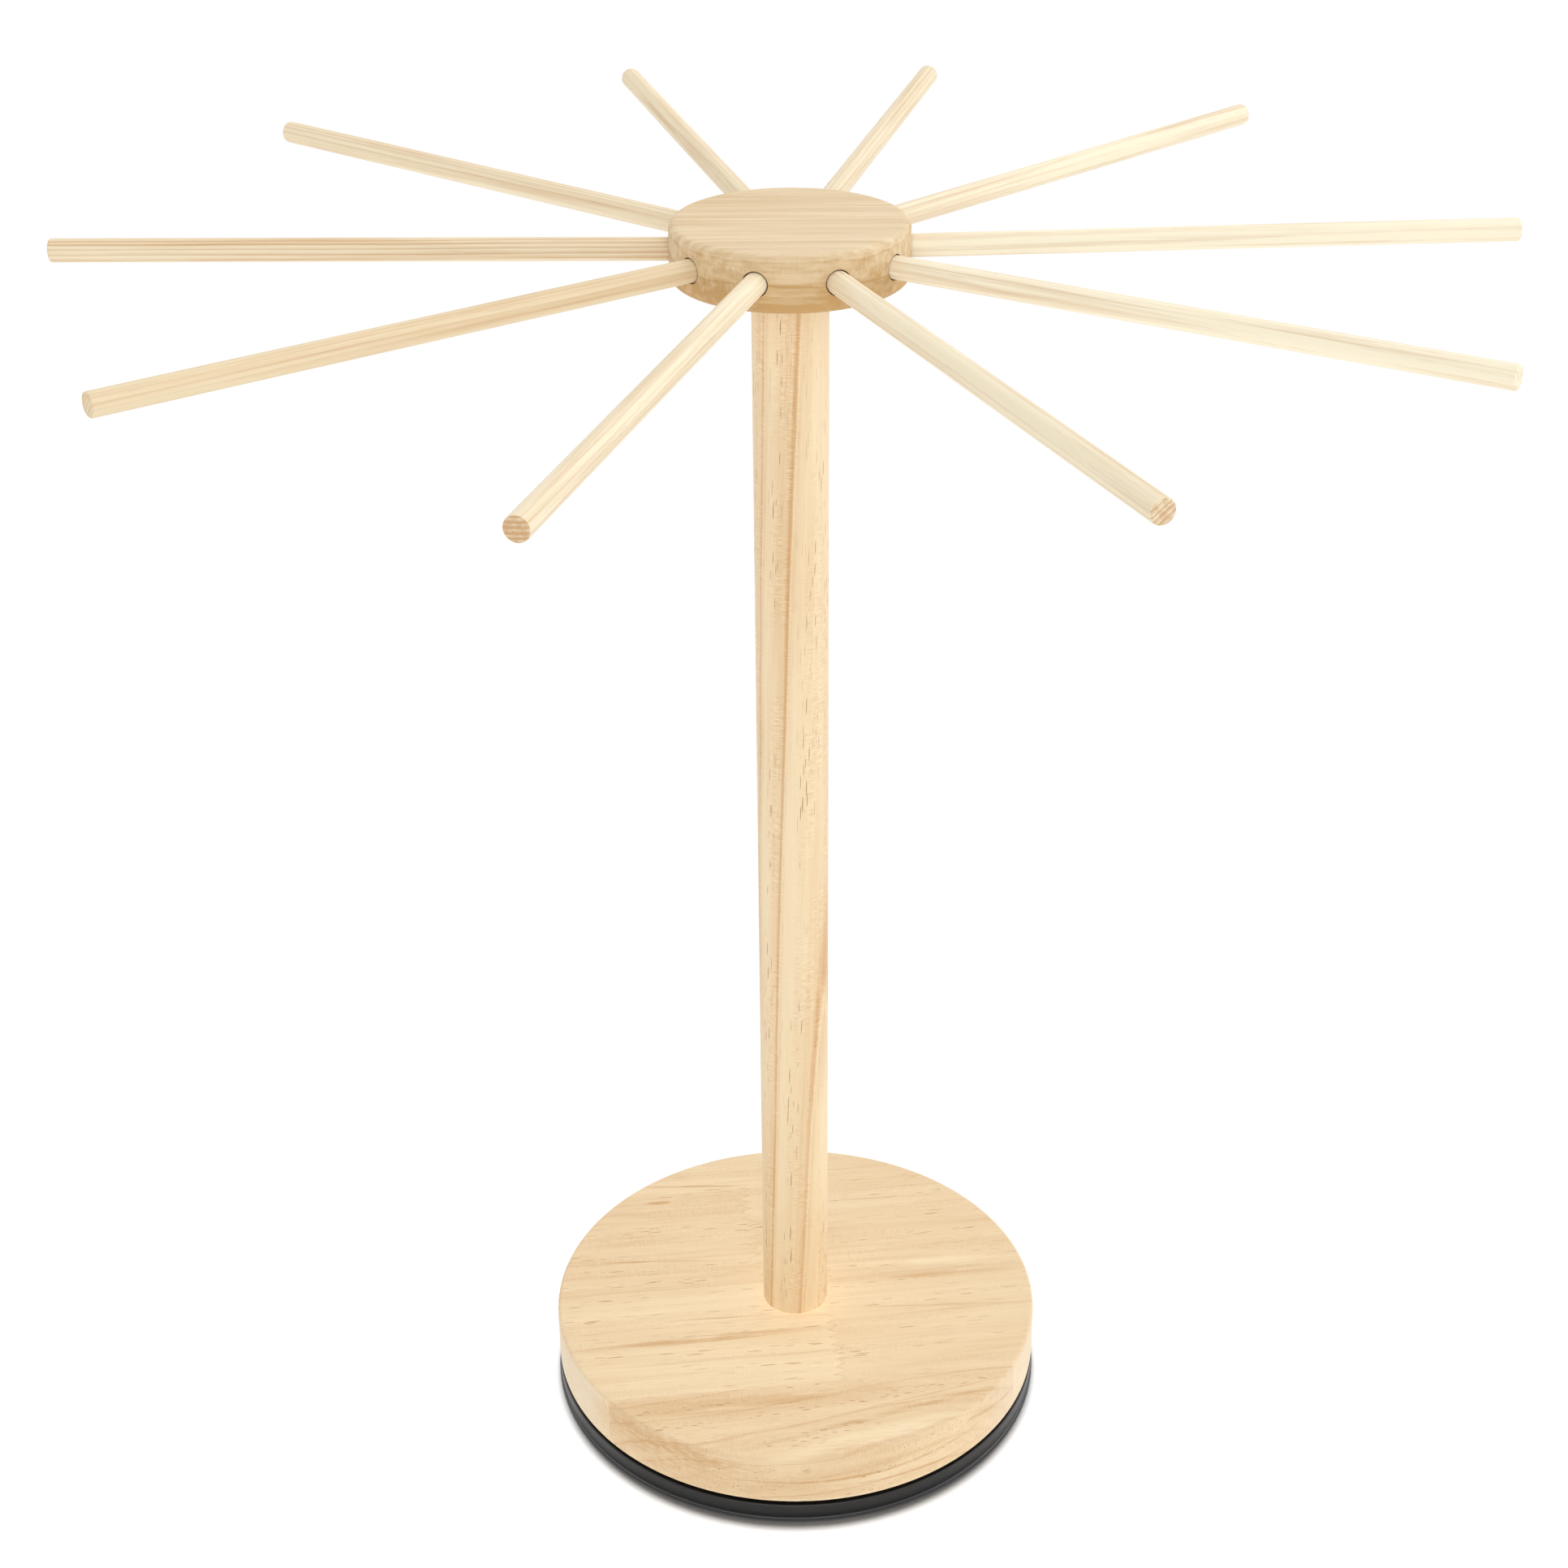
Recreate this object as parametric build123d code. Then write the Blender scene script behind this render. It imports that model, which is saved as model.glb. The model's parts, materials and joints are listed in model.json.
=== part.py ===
from build123d import *

import os
from math import cos, radians, sin

# Free-standing wooden drying rack: a round base on a ball-bearing turntable, a round post,
# and a hub with ten rods that push into radial sockets and pull out for storage.
# Millimetres, +Z up. The rack stands on z = 0 with its axis on Z and its front towards -Y.

# Whole rack
rack_height = 432.0
rod_reach = 220.5

# Foot ring under the turntable, set in from the dish's outer edge
foot_inset = 1.0
foot_width = 5.0
foot_thickness = 1.6
foot_drop = 0.8

# Lower half of the turntable, a shallow moulded dish that stands a little proud of the base disc
dish_overhang = 0.5
dish_floor = 1.6
dish_wall = 2.4
dish_rim_gap = 1.3
dish_edge_chamfer = 0.4
foot_land_width = 12.0
foot_land_rise = 1.0
boss_diameter = 28.0
boss_running_gap = 0.3
access_hole_diameter = 9.0

# Low walls on the dish that keep the cage centred
guide_gap = 0.5
guide_width = 1.5
guide_height = 2.0

# Balls and their cage, whose track is set in from the plate's edge
ball_diameter = 5.0
ball_count = 12
ball_gap = 0.05
track_inset = 13.0
track_depth = 0.4
cage_width = 9.0
cage_thickness = 1.6
cage_gap = 0.1

# Upper half of the turntable, a plate screwed under the base disc. It is set in from the disc's
# edge, and its screws are set in from its own.
plate_inset = 14.5
plate_thickness = 1.8
plate_edge_chamfer = 0.5
plate_screw_inset = 33.0
plate_screw_count = 4
plate_screw_diameter = 3.2
plate_screw_head = 6.4
plate_screw_length = 12.0

# Hollow rivet that holds the two halves together
rivet_diameter = 8.0
rivet_bore = 5.0
rivet_flange_diameter = 14.0
rivet_flange_thickness = 1.0
rivet_recess_gap = 2.0
rivet_head_gap = 0.2
rivet_running_gap = 0.08

# Base disc
base_diameter = 175.0
base_thickness = 19.5
base_edge_round = 1.2
counterbore_diameter = 22.0
counterbore_depth = 6.0

# Post, with a tenon at each end
post_diameter = 23.5
tenon_diameter = 16.0
base_tenon_length = 8.0
hub_tenon_length = 11.0
tenon_chamfer = 0.8
glue_gap = 0.05
tenon_end_gap = 0.5

# Screw and washer that draw the post down from below
post_screw_diameter = 4.5
post_screw_length = 45.0
post_screw_head_diameter = 9.5
post_screw_head_height = 2.8
post_screw_head_round = 0.8
washer_diameter = 16.0
washer_thickness = 1.2
screw_gap = 0.1
screw_tip_length = 5.0
screw_tip_diameter = 0.8
recess_width = 1.1
recess_reach_share = 0.6
recess_depth_share = 0.55

# Hub
hub_diameter = 72.0
hub_thickness = 17.5
hub_edge_round = 2.2

# Rods and their sockets. The sockets were drilled by hand, so their bearings, in degrees
# counter-clockwise from the front as seen from above, are not quite evenly spaced.
rod_bearings = [-53.9, -16.3, 22.7, 58.4, 94.0, 134.4, 166.6, 195.4, 231.2, 269.4]
rod_diameter = 7.0
rod_end_chamfer = 0.5
socket_depth = 18.0
socket_end_gap = 0.5
rod_running_gap = 0.08
socket_mouth_diameter = 7.8
socket_mouth_depth = 1.0

# How far cuts run past the faces they open
overrun = 1.0

# Diameters and heights that follow from the sizes above
dish_diameter = base_diameter + 2 * dish_overhang
plate_diameter = base_diameter - 2 * plate_inset
track_diameter = plate_diameter - 2 * track_inset
plate_screw_circle = plate_diameter - 2 * plate_screw_inset
foot_outer = dish_diameter - 2 * foot_inset
foot_inner = foot_outer - 2 * foot_width
dish_low = foot_drop
dish_floor_top = dish_low + dish_floor
ball_level = dish_floor_top - track_depth + ball_gap + ball_diameter / 2
plate_low = ball_level + ball_diameter / 2 + ball_gap - track_depth
base_low = plate_low + plate_thickness
dish_rim_top = base_low - dish_rim_gap
boss_top = plate_low - boss_running_gap
base_top = base_low + base_thickness
counterbore_top = base_low + counterbore_depth
hub_low = rack_height - hub_thickness
rod_level = rack_height - hub_thickness / 2
washer_low = counterbore_top - washer_thickness
rivet_recess_top = dish_low + rivet_recess_gap + rivet_flange_thickness


def disc(diameter, low, high):
    """A round disc or rod on the Z axis between two heights."""
    foot = (Align.CENTER, Align.CENTER, Align.MIN)
    return Pos(0, 0, low) * Cylinder(diameter / 2, high - low, align=foot)


def ring(outer_diameter, inner_diameter, low, high):
    """A flat ring on the Z axis between two heights."""
    return disc(outer_diameter, low, high) - disc(inner_diameter, low - overrun, high + overrun)


def round_places(count, circle_diameter):
    """Evenly spaced places on a circle round the Z axis."""
    return [Rot(0, 0, 360 * i / count) * Pos(circle_diameter / 2, 0, 0) for i in range(count)]


def circles_at(solid, end):
    """The circular edges at the lowest (end 0) or highest (end -1) level of a solid."""
    return solid.edges().filter_by(GeomType.CIRCLE).group_by(Axis.Z)[end]


def ball_track():
    """The round channel that the balls roll in, half in each half of the turntable."""
    return Pos(0, 0, ball_level) * Torus(track_diameter / 2, ball_diameter / 2 + ball_gap)


def cross_recess(head_diameter, head_height, low):
    """A cross-shaped driver recess, open downwards at the given height."""
    reach = head_diameter * recess_reach_share
    depth = head_height * recess_depth_share + overrun
    foot = (Align.CENTER, Align.CENTER, Align.MIN)
    bar = Pos(0, 0, low - overrun) * Box(reach, recess_width, depth, align=foot)
    return bar + Rot(0, 0, 90) * bar


def shank(diameter, low, length):
    """A screw's shank, pointed at the top, starting at the given height."""
    straight_top = low + length - screw_tip_length
    foot = (Align.CENTER, Align.CENTER, Align.MIN)
    tip = Cone(diameter / 2, screw_tip_diameter / 2, screw_tip_length, align=foot)
    return disc(diameter, low, straight_top) + Pos(0, 0, straight_top) * tip


def foot_ring():
    """Rubber ring, half sunk in a groove under the dish, that the rack stands on."""
    return ring(foot_outer, foot_inner, 0, foot_thickness)


def turntable_dish():
    """Moulded dish with an outer wall, a thicker land over the foot ring and a centre boss."""
    outer = disc(dish_diameter, dish_low, dish_rim_top)
    outer = chamfer(circles_at(outer, 0) + circles_at(outer, -1), dish_edge_chamfer)
    land_top = dish_floor_top + foot_land_rise
    inner_diameter = dish_diameter - 2 * dish_wall
    hollow = disc(inner_diameter, land_top, dish_rim_top + overrun)
    hollow += disc(inner_diameter - 2 * foot_land_width, dish_floor_top, dish_rim_top)
    dish = outer - hollow + disc(boss_diameter, dish_low, boss_top)
    for guide_inner in (track_diameter - cage_width - 2 * guide_gap - 2 * guide_width,
                        track_diameter + cage_width + 2 * guide_gap):
        guide_outer = guide_inner + 2 * guide_width
        dish += ring(guide_outer, guide_inner, dish_floor_top, dish_floor_top + guide_height)
    dish -= ring(foot_outer, foot_inner, 0, foot_thickness)
    dish -= ball_track()
    dish -= disc(rivet_diameter + 2 * rivet_running_gap, 0, boss_top + overrun)
    recess_diameter = rivet_flange_diameter + 2 * rivet_recess_gap
    dish -= disc(recess_diameter, 0, rivet_recess_top)
    access = disc(access_hole_diameter, 0, dish_floor_top + overrun)
    return dish - round_places(1, plate_screw_circle)[0] * access


def centre_rivet():
    """Hollow rivet up through the dish's boss, with a head over the plate it holds down."""
    head_low = base_low + rivet_head_gap
    head_top = head_low + rivet_flange_thickness
    flange_low = rivet_recess_top - rivet_flange_thickness
    rivet = disc(rivet_diameter, flange_low, head_top)
    rivet += disc(rivet_flange_diameter, flange_low, rivet_recess_top)
    rivet += disc(rivet_flange_diameter, head_low, head_top)
    return rivet - disc(rivet_bore, 0, head_top + overrun)


def bearing_balls():
    """Steel balls, evenly spaced in the track."""
    ball = Pos(0, 0, ball_level) * Sphere(ball_diameter / 2)
    return Compound([place * ball for place in round_places(ball_count, track_diameter)])


def ball_cage():
    """Flat ring with a round pocket for each ball."""
    low = ball_level - cage_thickness / 2
    high = ball_level + cage_thickness / 2
    cage = ring(track_diameter + cage_width, track_diameter - cage_width, low, high)
    pocket = disc(ball_diameter + 2 * cage_gap, low - overrun, high + overrun)
    for place in round_places(ball_count, track_diameter):
        cage -= place * pocket
    return cage


def turntable_plate():
    """Moulded plate that runs on the balls, with countersunk holes for its screws."""
    plate = disc(plate_diameter, plate_low, base_low)
    plate = chamfer(circles_at(plate, 0), plate_edge_chamfer)
    plate -= ball_track()
    plate -= disc(rivet_diameter + 2 * rivet_running_gap, plate_low - overrun, base_low + overrun)
    hole = disc(plate_screw_diameter + 2 * screw_gap, plate_low - overrun, base_low + overrun)
    for place in round_places(plate_screw_count, plate_screw_circle):
        plate -= place * (hole + countersunk_head(screw_gap))
    return plate


def countersunk_head(gap):
    """The tapered head of a plate screw, or with a gap round it the seat that it needs."""
    wide = plate_screw_head / 2 + gap
    narrow = plate_screw_diameter / 2 + gap
    foot = (Align.CENTER, Align.CENTER, Align.MIN)
    return Pos(0, 0, plate_low) * Cone(wide, narrow, wide - narrow, align=foot)


def plate_screws():
    """Countersunk wood screws that hold the plate to the base disc."""
    head_height = (plate_screw_head - plate_screw_diameter) / 2
    head = countersunk_head(0) + shank(plate_screw_diameter, plate_low, plate_screw_length)
    screw = head - cross_recess(plate_screw_diameter, head_height, plate_low)
    return Compound([place * screw for place in round_places(plate_screw_count, plate_screw_circle)])


def base_disc():
    """Thick wooden disc, mortised for the post and counterbored for its screw."""
    base = disc(base_diameter, base_low, base_top)
    base = fillet(circles_at(base, 0) + circles_at(base, -1), base_edge_round)
    mortise_low = base_top - base_tenon_length - tenon_end_gap
    base -= disc(tenon_diameter + 2 * glue_gap, mortise_low, base_top + overrun)
    base -= disc(counterbore_diameter, base_low - overrun, counterbore_top)
    base -= disc(post_screw_diameter + 2 * screw_gap, counterbore_top - overrun, mortise_low + overrun)
    pilot_top = plate_low + plate_screw_length + tenon_end_gap
    pilot = disc(plate_screw_diameter + 2 * screw_gap, base_low - overrun, pilot_top)
    for place in round_places(plate_screw_count, plate_screw_circle):
        base -= place * pilot
    return base


def post_washer():
    """Flat steel washer at the top of the base disc's counterbore."""
    return ring(washer_diameter, post_screw_diameter + 2 * screw_gap, washer_low, counterbore_top)


def post_screw():
    """Pan-head wood screw from below, through the base disc into the end of the post."""
    head_low = washer_low - post_screw_head_height
    head = disc(post_screw_head_diameter, head_low, washer_low)
    head = fillet(circles_at(head, 0), post_screw_head_round)
    head -= cross_recess(post_screw_head_diameter, post_screw_head_height, head_low)
    return head + shank(post_screw_diameter, washer_low, post_screw_length)


def post():
    """Round post with a tenon at each end and a pilot bore for the screw from below."""
    tenon_low = base_top - base_tenon_length
    tenon_high = hub_low + hub_tenon_length
    tenons = disc(tenon_diameter, tenon_low, tenon_high)
    tenons = chamfer(circles_at(tenons, 0) + circles_at(tenons, -1), tenon_chamfer)
    turned = tenons + disc(post_diameter, base_top, hub_low)
    pilot_top = washer_low + post_screw_length + tenon_end_gap
    return turned - disc(post_screw_diameter + 2 * screw_gap, tenon_low - overrun, pilot_top)


def to_bearing(solid, bearing):
    """Lays a solid that stands on the Z axis along a rod's line, outwards from the hub."""
    return Pos(0, 0, rod_level) * Rot(0, 0, bearing) * Rot(90, 0, 0) * solid


def hub():
    """Wooden disc with ten radial sockets in its rim and a blind mortise underneath."""
    head = disc(hub_diameter, hub_low, rack_height)
    head = fillet(circles_at(head, 0) + circles_at(head, -1), hub_edge_round)
    mortise_top = hub_low + hub_tenon_length + tenon_end_gap
    head -= disc(tenon_diameter + 2 * glue_gap, hub_low - overrun, mortise_top)
    rim = hub_diameter / 2
    socket = disc(rod_diameter + 2 * rod_running_gap, rim - socket_depth, rim + overrun)
    socket += disc(socket_mouth_diameter, rim - socket_mouth_depth, rim + overrun)
    for bearing in rod_bearings:
        head -= to_bearing(socket, bearing)
    return head


def rod(bearing):
    """A plain dowel with eased ends, from the bottom of its socket to its tip."""
    rod_start = hub_diameter / 2 - socket_depth + socket_end_gap
    dowel = disc(rod_diameter, rod_start, rod_reach)
    dowel = chamfer(circles_at(dowel, 0) + circles_at(dowel, -1), rod_end_chamfer)
    return to_bearing(dowel, bearing)


pieces = {
    "foot_ring": foot_ring(),
    "turntable_dish": turntable_dish(),
    "centre_rivet": centre_rivet(),
    "bearing_balls": bearing_balls(),
    "ball_cage": ball_cage(),
    "turntable_plate": turntable_plate(),
    "plate_screws": plate_screws(),
    "base_disc": base_disc(),
    "post_washer": post_washer(),
    "post_screw": post_screw(),
    "post": post(),
    "hub": hub(),
}
for number, bearing in enumerate(rod_bearings, start=1):
    pieces[f"rod_{number:02d}"] = rod(bearing)
    outward = (round(sin(radians(bearing)), 6), round(-cos(radians(bearing)), 6), 0)
    print("rod", number, "pulls out along", outward)

os.makedirs("parts", exist_ok=True)
for name, piece in pieces.items():
    export_step(piece, f"parts/{name}.step")
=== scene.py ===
import json
import math

import bmesh
import bpy
import numpy as np
from mathutils import Matrix, Vector


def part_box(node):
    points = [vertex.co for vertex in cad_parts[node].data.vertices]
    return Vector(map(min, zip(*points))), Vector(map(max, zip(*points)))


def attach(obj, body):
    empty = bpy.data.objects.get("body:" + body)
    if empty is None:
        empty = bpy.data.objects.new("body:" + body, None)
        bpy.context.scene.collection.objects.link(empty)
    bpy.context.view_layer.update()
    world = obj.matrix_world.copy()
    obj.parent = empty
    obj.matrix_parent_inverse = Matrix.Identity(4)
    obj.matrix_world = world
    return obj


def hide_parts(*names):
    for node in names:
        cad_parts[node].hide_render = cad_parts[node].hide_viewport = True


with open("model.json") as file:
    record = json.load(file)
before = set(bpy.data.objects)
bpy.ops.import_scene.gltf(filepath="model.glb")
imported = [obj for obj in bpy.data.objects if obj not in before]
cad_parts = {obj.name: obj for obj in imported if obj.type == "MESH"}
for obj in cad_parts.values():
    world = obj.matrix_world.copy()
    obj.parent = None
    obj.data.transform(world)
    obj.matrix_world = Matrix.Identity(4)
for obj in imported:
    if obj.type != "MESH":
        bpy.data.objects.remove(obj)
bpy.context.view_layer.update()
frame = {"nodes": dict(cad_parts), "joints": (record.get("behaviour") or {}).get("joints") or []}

# Foot ring: a rubber band pressed into a groove under the turntable dish. The whole rack stands
# on it, and it shows only as a fine dark line where the dish meets the table.
foot_low, foot_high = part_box("foot_ring")
foot_width = 0.005
foot_rounding = 0.0005
foot_gloss = 0.75
foot_bump = 0.00005
rubber_colour = (0.012, 0.012, 0.013, 1)
dust_colour = (0.6, 0.58, 0.55, 1)
spark_size = 0.00022
dust_size = 0.0009
gloss_patch = 0.018
full_turn = np.linspace(0, 2 * math.pi, 181)
weld_distance = 2e-6
sharp_edge = math.radians(35)


def rounded(corners, closed=True, steps=6, guard=0.3):
    """Outline through corners given as (radius, height, rounding). With h half the angle at a
    corner, its arc starts rounding / tan h from the corner and turns about a point on the bisector
    rounding / sin h away. A point outside each end of the arc, by the guard's share of the
    rounding, keeps the straights flat."""
    corners = np.asarray(corners, float)
    outline = []
    for i, (radius, height, rounding) in enumerate(corners):
        corner = np.array([radius, height])
        if rounding == 0:
            outline.append(corner[None])
            continue
        before = corners[i - 1, :2] - corner
        after = corners[(i + 1) % len(corners), :2] - corner
        before /= np.linalg.norm(before)
        after /= np.linalg.norm(after)
        half = math.acos(np.clip(before @ after, -1, 1)) / 2
        bisector = (before + after) / np.linalg.norm(before + after)
        start = corner + before * rounding / math.tan(half)
        end = corner + after * rounding / math.tan(half)
        centre = corner + bisector * rounding / math.sin(half)
        turn = np.linspace(0, math.pi - 2 * half, steps + 1)[:, None]
        arc = centre + np.cos(turn) * (start - centre) - np.sin(turn) * rounding * before
        outline += [[start + guard * rounding * before], arc, [end + guard * rounding * after]]
    if closed:
        outline.append(outline[0][:1])
    return np.concatenate(outline)


def turned(outline, angles=full_turn):
    """Net of an outline turned about Z: a point (r, z) goes to (r cos a, r sin a, z)."""
    r, z = outline[:, :1], outline[:, 1:]
    return np.stack([r * np.cos(angles), r * np.sin(angles), z + 0 * angles], axis=-1)


def shell(name, nets):
    """One closed, smooth mesh from nets, each an array of points in rows and columns whose
    neighbours make a quad. Edges and poles that meet are merged, and corners are kept sharp."""
    points, quads, start = [], [], 0
    for net in nets:
        rows, columns = net.shape[:2]
        index = start + np.arange(rows * columns).reshape(rows, columns)
        around = [index[:-1, :-1], index[1:, :-1], index[1:, 1:], index[:-1, 1:]]
        quads.append(np.stack(around, axis=-1).reshape(-1, 4))
        points.append(net.reshape(-1, 3))
        start += rows * columns
    mesh = bpy.data.meshes.new(name)
    mesh.from_pydata(np.concatenate(points), [], np.concatenate(quads))
    merged = bmesh.new()
    merged.from_mesh(mesh)
    bmesh.ops.remove_doubles(merged, verts=merged.verts, dist=weld_distance)
    bmesh.ops.recalc_face_normals(merged, faces=merged.faces)
    merged.to_mesh(mesh)
    merged.free()
    mesh.shade_smooth()
    mesh.set_sharp_from_angle(angle=sharp_edge)
    piece = bpy.data.objects.new(name, mesh)
    bpy.context.scene.collection.objects.link(piece)
    return piece


def feed(tree, kind, inputs, **settings):
    """A shader node whose inputs take the given values or the outputs of other nodes."""
    node = tree.nodes.new("ShaderNode" + kind)
    for setting, value in settings.items():
        setattr(node, setting, value)
    for socket, value in inputs.items():
        if isinstance(value, bpy.types.NodeSocket):
            tree.links.new(value, node.inputs[socket])
        else:
            node.inputs[socket].default_value = value
    return node


def maths(tree, operation, *values):
    """The result of one Math node."""
    return feed(tree, "Math", dict(enumerate(values)), operation=operation).outputs[0]


def vectors(tree, operation, *values):
    """The vector from one Vector Math node, or the length that it gives."""
    node = feed(tree, "VectorMath", dict(enumerate(values)), operation=operation)
    return node.outputs["Value" if operation == "LENGTH" else "Vector"]


def mixed(tree, factor, first, second):
    """The colour between two others, or the outputs that carry them, at a factor."""
    return feed(tree, "Mix", {"Factor": factor, 6: first, 7: second}, data_type="RGBA").outputs[2]


def ramp(tree, value, low, high, out_low=0.0, out_high=1.0):
    """A value eased from out_low to out_high as it goes from low to high."""
    limits = {"From Min": low, "From Max": high, "To Min": out_low, "To Max": out_high}
    node = feed(tree, "MapRange", {"Value": value, **limits}, interpolation_type="SMOOTHSTEP")
    return node.outputs["Result"]


def counted(tree, place, sizes):
    """A place counted in the given sizes, one along each axis."""
    return vectors(tree, "MULTIPLY", place, tuple(1 / size for size in sizes))


def cloud(tree, place, size, detail=2.0, output=0):
    """Noise from 0 to 1 with lumps of the given size, or size along each axis, at a place.
    Output 1 is three such noises as one vector."""
    sizes = size if isinstance(size, tuple) else (size, size, size)
    inputs = {"Vector": counted(tree, place, sizes), "Scale": 1.0, "Detail": detail}
    return feed(tree, "TexNoise", inputs).outputs[output]


def group(name, inputs, outputs):
    """An empty node group with its named sockets, and its input and output nodes."""
    tree = bpy.data.node_groups.new(name, "ShaderNodeTree")
    for socket, kind in inputs.items():
        tree.interface.new_socket(socket, in_out="INPUT", socket_type="NodeSocket" + kind)
    for socket, kind in outputs.items():
        tree.interface.new_socket(socket, in_out="OUTPUT", socket_type="NodeSocket" + kind)
    return tree, tree.nodes.new("NodeGroupInput").outputs, tree.nodes.new("NodeGroupOutput").inputs


def material(name, **constants):
    """A new material, its tree and its Principled BSDF, with constants set on the shader."""
    made = bpy.data.materials.new(name)
    made.use_nodes = True
    surface = made.node_tree.nodes["Principled BSDF"]
    for socket, value in constants.items():
        surface.inputs[socket.replace("_", " ")].default_value = value
    return made, made.node_tree, surface


def finish(tree, surface, colour, roughness, height, bump_depth):
    """Feeds a shader its colour and roughness, and its normal through a bump."""
    bump = feed(tree, "Bump", {"Height": height, "Distance": bump_depth})
    tree.links.new(colour, surface.inputs["Base Color"])
    tree.links.new(roughness, surface.inputs["Roughness"])
    tree.links.new(bump.outputs[0], surface.inputs["Normal"])


def moulded_skin():
    """Group for moulded parts: a fine spark-eroded texture, broad uneven gloss and a trace of
    dust. Place is in metres."""
    tree, given, gives = group(
        "moulded_skin",
        {"Place": "Vector", "Colour": "Color", "Gloss": "Float"},
        {"Colour": "Color", "Roughness": "Float", "Height": "Float"},
    )
    place = given["Place"]
    spark = cloud(tree, place, spark_size, 3.0)
    broad = cloud(tree, place, gloss_patch, 3.0)
    dust = ramp(tree, cloud(tree, place, dust_size, 4.0), 0.62, 0.8, 0.0, 0.025)
    uneven = ramp(tree, broad, 0.3, 0.7, -0.05, 0.05)
    tree.links.new(mixed(tree, dust, given["Colour"], dust_colour), gives["Colour"])
    tree.links.new(maths(tree, "ADD", given["Gloss"], uneven), gives["Roughness"])
    tree.links.new(spark, gives["Height"])
    return tree


skin_group = moulded_skin()


def moulded(name, colour, gloss, bump_depth, **constants):
    """Material of a moulded part, from the moulded_skin group."""
    made, tree, surface = material(name, **constants)
    place = feed(tree, "TexCoord", {}).outputs["Object"]
    inputs = {"Place": place, "Colour": colour, "Gloss": gloss}
    skin = feed(tree, "Group", inputs, node_tree=skin_group).outputs
    finish(tree, surface, skin["Colour"], skin["Roughness"], skin["Height"], bump_depth)
    return made


foot_outline = rounded([
    (foot_high.x, foot_low.z, foot_rounding),
    (foot_high.x, foot_high.z, foot_rounding),
    (foot_high.x - foot_width, foot_high.z, foot_rounding),
    (foot_high.x - foot_width, foot_low.z, foot_rounding),
])
foot = shell("foot_band", [turned(foot_outline)])
foot.data.materials.append(moulded("foot_rubber", rubber_colour, foot_gloss, foot_bump))
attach(foot, "stand")
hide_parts("foot_ring")

# Turntable dish: the lower half of the turntable, a shallow black moulding. Its outer wall shows
# under the wood as a satin ring, with a narrow shadow gap above it and a fine bead near its foot.
dish_low, dish_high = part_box("turntable_dish")
dish_floor = 0.0016
dish_wall = 0.0024
edge_rounding = 0.0005
inner_rounding = 0.0003
chamfer_reach = 0.0004
bead_rise = 0.0004
bead_stand = 0.0004
bead_rounding = 0.00008
land_width = 0.012
land_rise = 0.001
guide_inner = (0.0535, 0.065)
guide_width = 0.0015
guide_height = 0.002
track_radius = 0.06
track_bore = 0.00255
track_depth = 0.0004
boss_radius = 0.014
boss_top = 0.0064
rivet_bore = 0.00408
recess_radius = 0.009
recess_top = 0.0038
access_radius = 0.0045
access_centre = 0.04
dish_black = (0.006, 0.006, 0.0064, 1)
# Paler black for the painted highlight along the top of the dish's bead
bead_highlight_black = (0.05, 0.05, 0.052, 1)
satin_gloss = 0.33
satin_bump = 0.00003
satin_specular = 0.38


def holed(perimeter, centre, radius, shares):
    """Flat net between a round hole and a closed perimeter. Each perimeter point is joined to
    the hole's edge along the line to its centre, with points at the given shares of the way."""
    out = perimeter - centre
    edge = centre + radius * out / np.linalg.norm(out, axis=1)[:, None]
    shares = np.asarray(shares)[:, None, None]
    return edge + shares * (perimeter - edge)


floor_top = dish_low.z + dish_floor
land_top = floor_top + land_rise
wall_inner = dish_high.x - dish_wall
land_inner = wall_inner - land_width
guide_top = floor_top + guide_height
ball_centre = floor_top + track_bore - track_depth
track_half = math.sqrt(track_bore ** 2 - (track_bore - track_depth) ** 2)
track_across = np.linspace(track_half, -track_half, 9)
track_arc = [(track_radius + x, ball_centre - math.sqrt(track_bore ** 2 - x * x), 0)
             for x in track_across]
guide_corners = [
    [(inner + guide_width, floor_top, 0), (inner + guide_width, guide_top, inner_rounding),
     (inner, guide_top, inner_rounding), (inner, floor_top, 0)]
    for inner in guide_inner
]
dish_outside = rounded([
    (guide_inner[0], dish_low.z, 0),
    (foot_high.x - foot_width, dish_low.z, 0),
    (foot_high.x - foot_width, foot_high.z, 0),
    (foot_high.x, foot_high.z, 0),
    (foot_high.x, dish_low.z, 0),
    (dish_high.x - chamfer_reach, dish_low.z, inner_rounding),
    (dish_high.x, dish_low.z + chamfer_reach, bead_rounding),
    (dish_high.x - bead_stand, dish_low.z + chamfer_reach + bead_rise, 0),
    (dish_high.x - bead_stand, dish_high.z, edge_rounding),
    (wall_inner, dish_high.z, inner_rounding),
    (wall_inner, land_top, 0),
    (land_inner, land_top, inner_rounding),
    (land_inner, floor_top, 0),
    *guide_corners[1],
    *track_arc,
    *guide_corners[0],
], closed=False)
dish_centre = rounded([
    (boss_radius, floor_top, 0),
    (boss_radius, boss_top, inner_rounding),
    (rivet_bore, boss_top, inner_rounding),
    (rivet_bore, recess_top, 0),
    (recess_radius, recess_top, 0),
    (recess_radius, dish_low.z, inner_rounding),
    (boss_radius, dish_low.z, 0),
], closed=False)

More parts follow.
